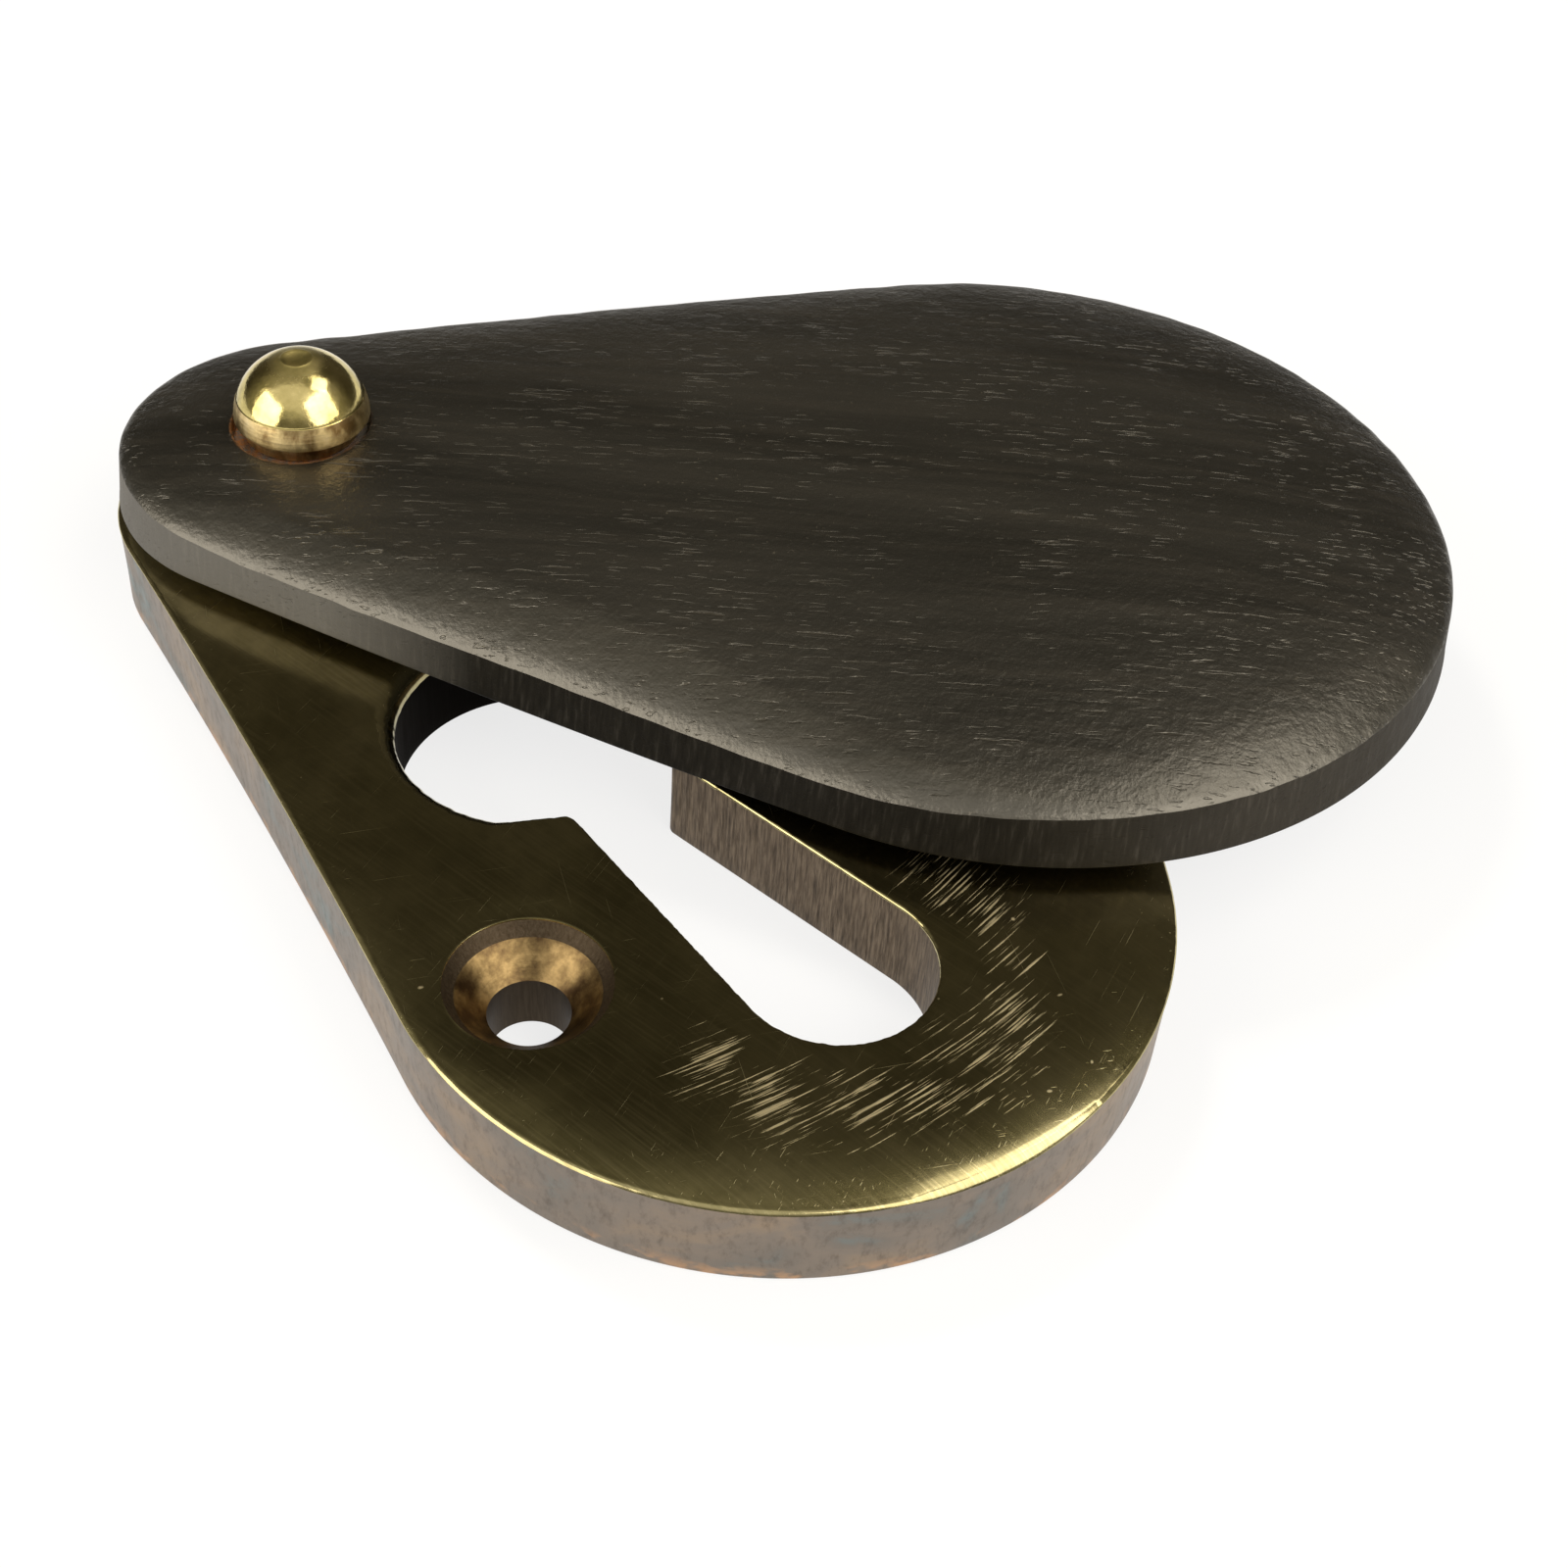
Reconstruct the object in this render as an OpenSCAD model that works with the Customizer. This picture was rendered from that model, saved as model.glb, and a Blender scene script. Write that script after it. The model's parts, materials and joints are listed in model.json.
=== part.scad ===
// Covered keyhole escutcheon.
// A cast brass teardrop plate has a keyhole and two countersunk screw holes. A domed wooden
// cover hangs on a dome-headed rivet at the plate's narrow end, and swings over the keyhole.
//
// Frame: the origin is midway between the two screw holes, on the plate's flat back.
// +Z points out of the door. +Y points up, along the plate, to the rivet. Millimetres.

/* [Plate] */
// Radius of the plate's wide end
plate_wide_r = 14.8; // [14.4:0.1:15.4]
// Radius of the plate's narrow end, which is centred on the rivet
plate_narrow_r = 8.1; // [7.4:0.1:9]
// Radius of the plate's long hollow flanks
plate_flank_r = 500; // [250:10:900]
// Thickness of the plate
plate_t = 4.0; // [3.6:0.1:5]
// Distance from the centre of the wide end up to the rivet
rivet_y = 29.8; // [29:0.1:32]

/* [Keyhole] */
// Radius of the keyhole's round head
key_head_r = 5.6; // [5:0.1:5.8]
// Height of the head's centre above the centre of the wide end
key_head_y = 12.3; // [12:0.1:13]
// Half the slot's width at the centre of the head
key_neck_r = 1.9; // [1.6:0.1:2.4]
// Radius of the slot's round foot
key_foot_r = 3.7; // [3:0.1:4]
// Height of the foot's centre above the centre of the wide end
key_foot_y = -4.5; // [-5:0.1:-3]
// Sideways offset of the keyhole from the plate's centre line
key_x = -1.3; // [-1.4:0.1:0]

/* [Screw holes] */
// Distance between the two screw holes
screw_spacing = 20.2; // [19.8:0.1:20.8]
// Height of the screw holes above the centre of the wide end
screw_y = 1.8; // [1:0.1:2.5]
// Radius of the screw hole
screw_hole_r = 1.5; // [1.3:0.05:1.7]
// Radius of the countersink at the plate's face
screw_rim_r = 3.0; // [2.8:0.05:3.1]
// Radius at the foot of the countersink's steep rim
screw_seat_r = 2.6; // [2.4:0.05:2.7]
// Depth of the steep rim
screw_rim_depth = 0.6; // [0.4:0.05:0.8]

/* [Cover] */
// Radius of the cover's wide end
cover_wide_r = 18.6; // [17:0.1:19.5]
// Radius of the cover's narrow end, which is centred on the rivet
cover_narrow_r = 7.9; // [7.4:0.1:9]
// Distance from the rivet to the centre of the cover's wide end
cover_l = 30.3; // [29:0.1:32]
// Radius of the cover's long bulging flanks
cover_flank_r = 500; // [250:10:900]
// Height of the cover's upright edge
cover_edge_h = 2.3; // [1.8:0.1:3]
// Rise of the dome above the upright edge
cover_dome_h = 2.2; // [1.5:0.1:2.6]
// Steepness of the dome where it meets the upright edge
cover_dome_slope = 0.24; // [0.2:0.02:0.5]
// How far the cover is swung open
cover_open_angle = 41.4; // [38:0.1:60]

/* [Rivet and spacer] */
// Radius of the rivet's round head
head_r = 2.9; // [2.5:0.05:3]
// Height of the head above its collar
head_h = 2.9; // [2.4:0.05:3]
// Radius of the collar under the head, which turns in the cover's recess
collar_r = 2.4; // [2:0.05:2.5]
// Height of the collar
collar_h = 0.75; // [0.5:0.05:0.9]
// Radius of the rivet's shank
shank_r = 1.5; // [1.25:0.05:1.6]
// Radius of the recess in the cover for the rivet's collar
recess_r = 2.9; // [2.8:0.05:3.3]
// Depth of that recess at its shallowest point
recess_depth = 0.4; // [0.3:0.05:0.6]
// Depth of the plate's rear countersink, which the rivet's tail fills
tail_depth = 1.0; // [0.8:0.1:1.4]
// Radius of the rivet's tail at the plate's back
tail_r = 2.4; // [2.2:0.1:2.8]
// Thickness of the spacer washer under the cover
washer_t = 0.55; // [0.4:0.05:0.8]
// Outer radius of the spacer washer
washer_r = 3.4; // [3:0.1:4]

/* [Hidden] */
// Radial clearance of the cover and of the washer on the rivet's shank
shank_gap = 0.05;
// Clearance of the cover from the washer below it and from the collar above it
face_gap = 0.05;
// Radius and depth of the centre dimple in the rivet's head
dimple_r = 0.5;
dimple_depth = 0.15;
// Tools reach this far past a face that they cut through
past = 1;
// Steps along an outline's wide end, flank and narrow end, and up a dome
wide_steps = 24;
flank_steps = 6;
narrow_steps = 14;
dome_steps = 8;
// How far the cover's last ring has closed in on its centre line
last_ring = 0.96;
// Power that crowds the rings towards the dome's steeper edge
ring_bias = 1.5;
$fn = 96;

rivet_pos = [0, rivet_y - screw_y];
cover_z = plate_t + washer_t + face_gap;
recess_floor = cover_edge_h + dome(cover_narrow_r - recess_r) - recess_depth;
collar_z = cover_z + recess_floor + face_gap;
bore_r = shank_r + shank_gap;
head_top = collar_z + collar_h + head_h;
// Radius of the ball that cuts the dimple
dimple_ball_r = (dimple_r * dimple_r + dimple_depth * dimple_depth) / (2 * dimple_depth);

// Points along an arc
function arc(centre, r, from, to, steps) =
    [for (i = [0 : steps])
        let (a = from + (to - from) * i / steps)
        centre + r * [cos(a), sin(a)]];

// Teardrop outline: a wide end round [0, 0], a narrow end round [0, l], and two long flanks
// of radius f that touch both. The flanks are hollow if bow is 1, and bulge if bow is -1.
function teardrop(wide, narrow, l, f, bow) =
    let (
        to_wide = f + bow * wide,
        to_narrow = f + bow * narrow,
        cy = (to_wide * to_wide - to_narrow * to_narrow + l * l) / (2 * l),
        cx = bow * sqrt(to_wide * to_wide - cy * cy),
        wide_touch = atan2(bow * cy, bow * cx),
        narrow_touch = atan2(bow * (cy - l), bow * cx),
        side = bow > 0 ? 180 : 0,
        flank = arc([cx, cy], f, wide_touch + side, narrow_touch + side, flank_steps),
        right = concat(
            arc([0, 0], wide, -90, wide_touch, wide_steps),
            [for (i = [1 : flank_steps - 1]) flank[i]],
            arc([0, l], narrow, narrow_touch, 90, narrow_steps)
        )
    )
    concat(right, [for (i = [len(right) - 2 : -1 : 1]) [-right[i][0], right[i][1]]]);

// Rise of the cover's dome at a distance in from its outline
function dome(inset) = cover_dome_h * (1 - exp(-cover_dome_slope * inset / cover_dome_h));

// Ring of the cover's dome, closed in by a part of the way to the cover's centre line. The
// wide end's centre is at [0, 0].
function dome_ring(part) =
    let (left = 1 - part)
    [for (p = teardrop(cover_wide_r * left, cover_narrow_r * left, cover_l, cover_flank_r / left, -1))
        let (
            along = min(max(p[1] / cover_l, 0), 1),
            half_width = cover_wide_r + (cover_narrow_r - cover_wide_r) * along
        )
        [p[0], p[1], cover_edge_h + dome(part * half_width)]];

// Cover without its holes, with its wide end's centre at the origin
module cover_blank() {
    foot = [for (p = dome_ring(0)) [p[0], p[1], 0]];
    dome_rings = [for (j = [0 : dome_steps]) dome_ring(last_ring * pow(j / dome_steps, ring_bias))];
    rings = concat([foot], dome_rings);
    n = len(foot);
    top = (len(rings) - 1) * n;
    half = n / 2;
    walls = [for (k = [0 : len(rings) - 2]) for (i = [0 : n - 1])
        let (a = k * n + i, b = k * n + (i + 1) % n)
        each [[a, a + n, b + n], [a, b + n, b]]];
    crown = [for (i = [1 : half - 2])
        each [[top + i, top + n - i, top + n - i - 1], [top + i, top + n - i - 1, top + i + 1]]];
    tips = [[top, top + n - 1, top + 1], [top + half - 1, top + half + 1, top + half]];
    underside = [for (i = [0 : n - 1]) i];
    polyhedron(points = [for (ring = rings) each ring], faces = concat([underside], walls, crown, tips));
}

// A cylinder or cone on the rivet's axis
module on_rivet(z, h, r1, r2) {
    translate([rivet_pos[0], rivet_pos[1], z]) cylinder(h = h, r1 = r1, r2 = r2);
}

module keyhole() {
    translate([key_x, -screw_y, -past])
        linear_extrude(plate_t + 2 * past) {
            translate([0, key_head_y]) circle(key_head_r);
            translate([0, key_foot_y])
                polygon(teardrop(key_foot_r, key_neck_r, key_head_y - key_foot_y, 2000, 1));
        }
}

module screw_hole() {
    cone_depth = screw_seat_r - screw_hole_r;
    translate([0, 0, -past]) cylinder(h = plate_t + 2 * past, r = screw_hole_r);
    translate([0, 0, plate_t - screw_rim_depth - cone_depth])
        cylinder(h = cone_depth, r1 = screw_hole_r, r2 = screw_seat_r);
    translate([0, 0, plate_t - screw_rim_depth])
        cylinder(h = screw_rim_depth, r1 = screw_seat_r, r2 = screw_rim_r);
}

module base_plate() {
    color("#6b5f34")
    difference() {
        translate([0, -screw_y, 0])
            linear_extrude(plate_t)
                polygon(teardrop(plate_wide_r, plate_narrow_r, rivet_y, plate_flank_r, 1));
        keyhole();
        for (side = [-1, 1]) translate([side * screw_spacing / 2, 0, 0]) screw_hole();
        on_rivet(-past, plate_t + 2 * past, shank_r, shank_r);
        on_rivet(0, tail_depth, tail_r, shank_r);
    }
}

module spacer_washer() {
    color("#8a7a45")
    difference() {
        on_rivet(plate_t, washer_t, washer_r, washer_r);
        on_rivet(plate_t - past, washer_t + 2 * past, bore_r, bore_r);
    }
}

module swing_cover() {
    color("#262420")
    difference() {
        translate([rivet_pos[0], rivet_pos[1], cover_z])
            rotate([0, 0, cover_open_angle])
                translate([0, -cover_l, 0])
                    cover_blank();
        on_rivet(cover_z - past, cover_edge_h + cover_dome_h + 2 * past, bore_r, bore_r);
        on_rivet(cover_z + recess_floor, cover_dome_h + past, recess_r, recess_r);
    }
}

module head_dome() {
    rim_to_top = [for (a = [0 : 7.5 : 90]) [head_r * cos(a), head_h * sin(a)]];
    rotate_extrude() polygon(concat([[0, 0]], rim_to_top));
}

module pivot_rivet() {
    color("#c8a94e")
    difference() {
        union() {
            on_rivet(0, tail_depth, tail_r, shank_r);
            on_rivet(0, collar_z, shank_r, shank_r);
            on_rivet(collar_z, collar_h, collar_r, collar_r);
            translate([rivet_pos[0], rivet_pos[1], collar_z + collar_h]) head_dome();
        }
        translate([rivet_pos[0], rivet_pos[1], head_top + dimple_ball_r - dimple_depth])
            sphere(dimple_ball_r);
    }
}

base_plate();
spacer_washer();
swing_cover();
pivot_rivet();
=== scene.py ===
"""Looks of a covered keyhole escutcheon: an aged brass teardrop plate, a domed ebony cover
that swings on a brass rivet, and the spacer washer between them.

Shapes are worked out in millimetres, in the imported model's own frame, and turned into metres
when a mesh is made.
"""
import json
import math

import bmesh
import bpy
import numpy as np
from mathutils import Matrix, Vector, geometry


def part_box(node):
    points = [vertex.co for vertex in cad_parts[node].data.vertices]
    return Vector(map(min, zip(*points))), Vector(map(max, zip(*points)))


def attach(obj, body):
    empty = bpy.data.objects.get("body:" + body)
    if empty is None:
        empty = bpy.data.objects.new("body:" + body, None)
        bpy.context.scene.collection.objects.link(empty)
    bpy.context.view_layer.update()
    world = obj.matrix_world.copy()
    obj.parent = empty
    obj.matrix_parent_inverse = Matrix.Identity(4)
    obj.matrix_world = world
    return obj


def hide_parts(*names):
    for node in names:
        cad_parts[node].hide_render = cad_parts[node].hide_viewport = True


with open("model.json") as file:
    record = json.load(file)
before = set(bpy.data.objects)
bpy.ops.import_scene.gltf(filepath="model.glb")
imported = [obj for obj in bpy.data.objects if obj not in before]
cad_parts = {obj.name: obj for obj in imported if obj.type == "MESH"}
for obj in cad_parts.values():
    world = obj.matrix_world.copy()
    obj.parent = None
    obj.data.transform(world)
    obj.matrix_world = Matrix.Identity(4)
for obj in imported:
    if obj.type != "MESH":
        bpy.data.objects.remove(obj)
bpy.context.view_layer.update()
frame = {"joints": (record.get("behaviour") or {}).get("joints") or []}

MM = 0.001
TURN = 2 * math.pi


# ---------------------------------------------------------------- sizes, in millimetres

def node_box(node):
    """Lowest and highest corner of a CAD node, in millimetres."""
    low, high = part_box(node)
    return np.array(low) / MM, np.array(high) / MM


plate_low, plate_high = node_box("base_plate")
washer_low, washer_high = node_box("spacer_washer")
cover_low, cover_high = node_box("swing_cover")
rivet_low, rivet_high = node_box("pivot_rivet")
PIVOT = np.array(frame["joints"][0]["pos_m"][:2]) / MM

PLATE_T = plate_high[2]
PLATE_WIDE_R = plate_high[0]
PLATE_NARROW_R = plate_high[1] - PIVOT[1]
PLATE_CENTRE = np.array([0.0, plate_low[1] + PLATE_WIDE_R])
PLATE_L = PIVOT[1] - PLATE_CENTRE[1]
PLATE_FLANK_R = 500.0

KEY_X = -1.3
KEY_HEAD_R = 5.6
KEY_HEAD_Y = 12.3 + PLATE_CENTRE[1]
KEY_NECK_R = 1.9
KEY_FOOT_R = 3.7
KEY_FOOT_Y = -4.5 + PLATE_CENTRE[1]
KEY_CORNER_R = 0.45

SCREW_X = 10.1
SCREW_HOLE_R = 1.5
SCREW_RIM_R = 3.0
SCREW_SEAT_R = 2.6
SCREW_RIM_DEPTH = 0.6
# The plate's face is worn down round each screw hole, out to this radius and by this much.
SCREW_HALO_R = 4.3
SCREW_HALO_DEPTH = 0.06
# Headings, in degrees, of the two nicks in the plate's edge
NICK_FROM = -115.0
NICK_TO = -84.5

COVER_Z = cover_low[2]
COVER_WIDE_R = 18.6
COVER_NARROW_R = 7.9
COVER_L = 30.3
COVER_FLANK_R = 500.0
COVER_EDGE_H = 2.3
# How far the cover's side leans in from its foot to its crease
COVER_LEAN = 0.3
# The dome starts with a quick rise over a short reach, and then climbs at a slope to a limit.
SHOULDER_RISE = 0.32
SHOULDER_REACH = 1.3
DOME_LIMIT = 2.4
DOME_SLOPE = 0.15
# How much taller the cover's edge is on one flank, how far along the cover that is centred, and
# how far it spreads
FLANK_EXTRA = 0.42
FLANK_MIDDLE = 17.0
FLANK_SPREAD = 8.0
# Where the wide end's shoulder is fullest, as a bearing, and how far round that spreads, both in
# degrees; then how much it adds, and over what reach
FULL_BEARING = -132.0
FULL_SPREAD = 40.0
FULL_RISE = 0.85
FULL_REACH = 2.4
COVER_OPEN = math.radians(41.4)
RECESS_R = 2.9
RECESS_DEPTH = 0.4
BORE_R = 1.55

HEAD_R = (rivet_high[0] - rivet_low[0]) / 2
HEAD_H = 2.9
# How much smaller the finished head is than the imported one
HEAD_TRIM = 0.06
# How far the head was set off the shank when it was hammered
HEAD_OFF = np.array([0.06, -0.05])
# How far up its side, as an angle, the head's polish starts
POLISH_FROM = math.radians(21)
COLLAR_R = 2.4
COLLAR_H = 0.75
SHANK_R = 1.5
TAIL_R = 2.4
TAIL_DEPTH = 1.0
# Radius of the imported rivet's dimple, and radius and depth of the one that shows
DIMPLE_CUT_R = 0.5
DIMPLE_R = 0.58
DIMPLE_DEPTH = 0.13
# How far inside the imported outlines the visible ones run
SKIN = 0.012
WASHER_R = (washer_high[0] - washer_low[0]) / 2


# ---------------------------------------------------------------- outlines

def arc(centre, r, start, end, count):
    """Points and outward normals along an arc, its last point left out."""
    a = start + (end - start) * np.arange(count) / count
    normals = np.column_stack([np.cos(a), np.sin(a)])
    return np.asarray(centre) + r * normals, normals


def teardrop(wide, narrow, length, flank, bow, count):
    """Points and outward normals of a teardrop, anticlockwise from its lowest point. Its wide
    end is centred on (0, 0) and its narrow end on (0, length). bow is 1 for hollow flanks and
    -1 for bulging ones. Points are evenly spaced along each stretch."""
    to_wide, to_narrow = flank + bow * wide, flank + bow * narrow
    cy = (to_wide**2 - to_narrow**2 + length**2) / (2 * length)
    cx = bow * math.sqrt(to_wide**2 - cy**2)
    wide_touch = math.atan2(bow * cy, bow * cx)
    narrow_touch = math.atan2(bow * (cy - length), bow * cx)
    side = math.pi if bow > 0 else 0.0
    stretches = [
        ((0.0, 0.0), wide, -math.pi / 2, wide_touch),
        ((cx, cy), flank, wide_touch + side, narrow_touch + side),
        ((0.0, length), narrow, narrow_touch, math.pi / 2),
    ]
    total = sum(r * abs(end - start) for _, r, start, end in stretches)
    points, normals = [], []
    for centre, r, start, end in stretches:
        share = max(2, round(count / 2 * r * abs(end - start) / total))
        p, n = arc(centre, r, start, end, share)
        if r == flank:
            n = n * -bow
        points.append(p)
        normals.append(n)
    points = np.vstack(points + [[[0.0, length + narrow]]])
    normals = np.vstack(normals + [[[0.0, 1.0]]])
    mirror = np.array([-1.0, 1.0])
    return (
        np.vstack([points, points[-2:0:-1] * mirror]),
        np.vstack([normals, normals[-2:0:-1] * mirror]),
    )


def circle(centre, r, count):
    """Points and outward normals of a circle."""
    return arc(centre, r, 0.0, TURN, count)


def keyhole():
    """Points and outward normals of the keyhole, anticlockwise from the foot's lowest point:
    a round head, a slot that widens to a round foot, and small rounded corners between."""
    span = KEY_HEAD_Y - KEY_FOOT_Y
    lean = math.asin((KEY_FOOT_R - KEY_NECK_R) / span)
    side = np.array([math.cos(lean), math.sin(lean)])
    along = np.array([-math.sin(lean), math.cos(lean)])
    head = np.array([0.0, span])
    # The corner's circle lies in the metal: it touches the slot's side and the head's circle.
    off_side = KEY_FOOT_R + KEY_CORNER_R
    to_head = KEY_HEAD_R + KEY_CORNER_R
    base = side * off_side
    gap = head - base
    reach = gap @ along - math.sqrt(to_head**2 - (gap @ side) ** 2)
    corner = base + along * reach
    side_end = corner - side * KEY_CORNER_R
    outward = (corner - head) / to_head
    a_side = math.atan2(-side[1], -side[0])
    a_head = math.atan2(-outward[1], -outward[0])
    parts = [arc((0.0, 0.0), KEY_FOOT_R, -math.pi / 2, lean, 60)]
    start = side * KEY_FOOT_R
    steps = np.linspace(0, 1, 120, endpoint=False)[:, None]
    parts.append((start + (side_end - start) * steps, np.repeat(side[None], 120, 0)))
    swing = (a_head - a_side + math.pi) % TURN - math.pi
    p, n = arc(corner, KEY_CORNER_R, a_side, a_side + swing, 8)
    parts.append((p, -n))
    a_start = math.atan2(outward[1], outward[0])
    parts.append(arc(head, KEY_HEAD_R, a_start, math.pi / 2, 130))
    points = np.vstack([p for p, _ in parts] + [[[0.0, span + KEY_HEAD_R]]])
    normals = np.vstack([n for _, n in parts] + [[[0.0, 1.0]]])
    mirror = np.array([-1.0, 1.0])
    points = np.vstack([points, points[-2:0:-1] * mirror])
    normals = np.vstack([normals, normals[-2:0:-1] * mirror])
    return points + np.array([KEY_X, KEY_FOOT_Y]), normals


def smooth(part):
    """An eased part, which leaves 0 and reaches 1 without a kink."""
    return part * part * (3 - 2 * part)


def wobble(points, wavelength, seed):
    """Smooth noise between about -1 and 1 along a closed outline, seeded."""
    waves = 9
    step = np.linalg.norm(np.roll(points, -1, 0) - points, axis=1)
    s = np.concatenate([[0], np.cumsum(step)[:-1]])
    length = step.sum()
    rng = np.random.RandomState(seed)
    turns = max(1, length / wavelength)
    out = np.zeros(len(points))
    for _ in range(waves):
        k = max(1, round(turns * rng.uniform(0.6, 1.5)))
        out += np.cos(TURN * (k * s / length + rng.rand()))
    return out / math.sqrt(waves)


def inside_distance(points, loop):
    """Distance of each point from a closed outline, positive inside it."""
    a, b = loop, np.roll(loop, -1, 0)
    ab = b - a
    squares = (ab**2).sum(1)
    out = np.empty(len(points))
    for start in range(0, len(points), 2000):
        p = points[start:start + 2000]
        ap = p[:, None] - a[None]
        t = np.clip((ap * ab[None]).sum(2) / squares[None], 0, 1)
        gap = np.sqrt(((ap - t[..., None] * ab[None]) ** 2).sum(2)).min(1)
        above = (a[None, :, 1] > p[:, None, 1]) != (b[None, :, 1] > p[:, None, 1])
        rise = np.where(ab[:, 1] == 0, 1e-12, ab[:, 1])
        x = a[None, :, 0] + (p[:, None, 1] - a[None, :, 1]) / rise[None] * ab[None, :, 0]
        inside = (above & (p[:, None, 0] < x)).sum(1) % 2 == 1
        out[start:start + 2000] = np.where(inside, gap, -gap)
    return out


# ---------------------------------------------------------------- mesh making

class Shape:
    """A mesh that grows from strips between rings and from filled flat regions."""

    def __init__(self):
        self.points, self.faces, self.slots = [], [], []
        self.count = 0

    def add(self, points):
        start = self.count
        self.points.append(np.asarray(points, float))
        self.count += len(points)
        return start

    def strip(self, rings, slot=0):
        """Quads between one ring and the next. Rings are closed and have one length."""
        starts = [self.add(ring) for ring in rings]
        n = len(rings[0])
        for low, high in zip(starts, starts[1:]):
            for i in range(n):
                j = (i + 1) % n
                self.faces.append((low + i, low + j, high + j, high + i))
                self.slots.append(slot)

    def cap(self, ring, slot=0, flip=False):
        """One flat face over a ring."""
        start = self.add(ring)
        face = tuple(range(start, start + len(ring)))
        self.faces.append(face[::-1] if flip else face)
        self.slots.append(slot)

    def fill(self, outer, holes, spacing, height, slot=0, flip=False):
        """Triangles between a closed outline and its holes, over a grid of points. height
        gives the z of any array of points."""
        low, high = outer.min(0), outer.max(0)
        rows = np.arange(low[1], high[1], spacing * math.sqrt(3) / 2)
        grid = [
            [x, y]
            for k, y in enumerate(rows)
            for x in np.arange(low[0] + spacing / 2 * (k % 2), high[0], spacing)
        ]
        grid = np.array(grid)
        keep = inside_distance(grid, outer) > spacing * 0.6
        for hole in holes:
            keep &= inside_distance(grid, hole) < -spacing * 0.6
        grid = grid[keep]
        loops = [outer, *holes]
        flat = np.vstack(loops + [grid])
        edges, start = [], 0
        for loop in loops:
            n = len(loop)
            edges += [(start + i, start + (i + 1) % n) for i in range(n)]
            start += n
        result = geometry.delaunay_2d_cdt([Vector(p) for p in flat], edges, [], 0, 1e-7)
        points = np.array([tuple(p) for p in result[0]])
        triangles = np.array([tuple(f) for f in result[2]])
        middle = points[triangles].mean(1)
        keep = inside_distance(middle, outer) > 0
        for hole in holes:
            keep &= inside_distance(middle, hole) < 0
        first = self.add(np.column_stack([points, height(points)]))
        for tri in triangles[keep] + first:
            self.faces.append(tuple(tri[::-1]) if flip else tuple(tri))
            self.slots.append(slot)

    def build(self, name, materials, sharp=35.0, place=None):
        """The finished object, in metres, shaded smooth but for edges sharper than sharp."""
        points = np.vstack(self.points) * MM
        mesh = bpy.data.meshes.new(name)
        mesh.from_pydata(points.tolist(), [], [list(map(int, f)) for f in self.faces])
        mesh.polygons.foreach_set("material_index", self.slots)
        work = bmesh.new()
        work.from_mesh(mesh)
        bmesh.ops.remove_doubles(work, verts=work.verts, dist=1.5e-6)
        bmesh.ops.dissolve_degenerate(work, edges=work.edges, dist=1e-7)
        bmesh.ops.recalc_face_normals(work, faces=work.faces)
        if place is not None:
            bmesh.ops.transform(work, matrix=place, verts=work.verts)
        work.to_mesh(mesh)
        work.free()
        mesh.shade_smooth()
        mesh.set_sharp_from_angle(angle=math.radians(sharp))
        obj = bpy.data.objects.new(name, mesh)
        bpy.context.scene.collection.objects.link(obj)
        for material in materials:
            mesh.materials.append(material)
        return obj


def ring(points, normals, inset, z):
    """An outline moved in by inset, which may differ at each point, at height z."""
    inset = np.broadcast_to(inset, len(points))
    flat = points - normals * inset[:, None]
    return np.column_stack([flat, np.broadcast_to(z, len(points))])


def turned(centre, profile, count):
    """Rings of a turned shape, from its profile of (radius, height)."""
    points, normals = circle((0, 0), 1.0, count)
    return [
        np.column_stack([centre[0] + points[:, 0] * r, centre[1] + points[:, 1] * r,
                         np.full(count, z)])
        for r, z in profile
    ]


# ---------------------------------------------------------------- node helpers

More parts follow.
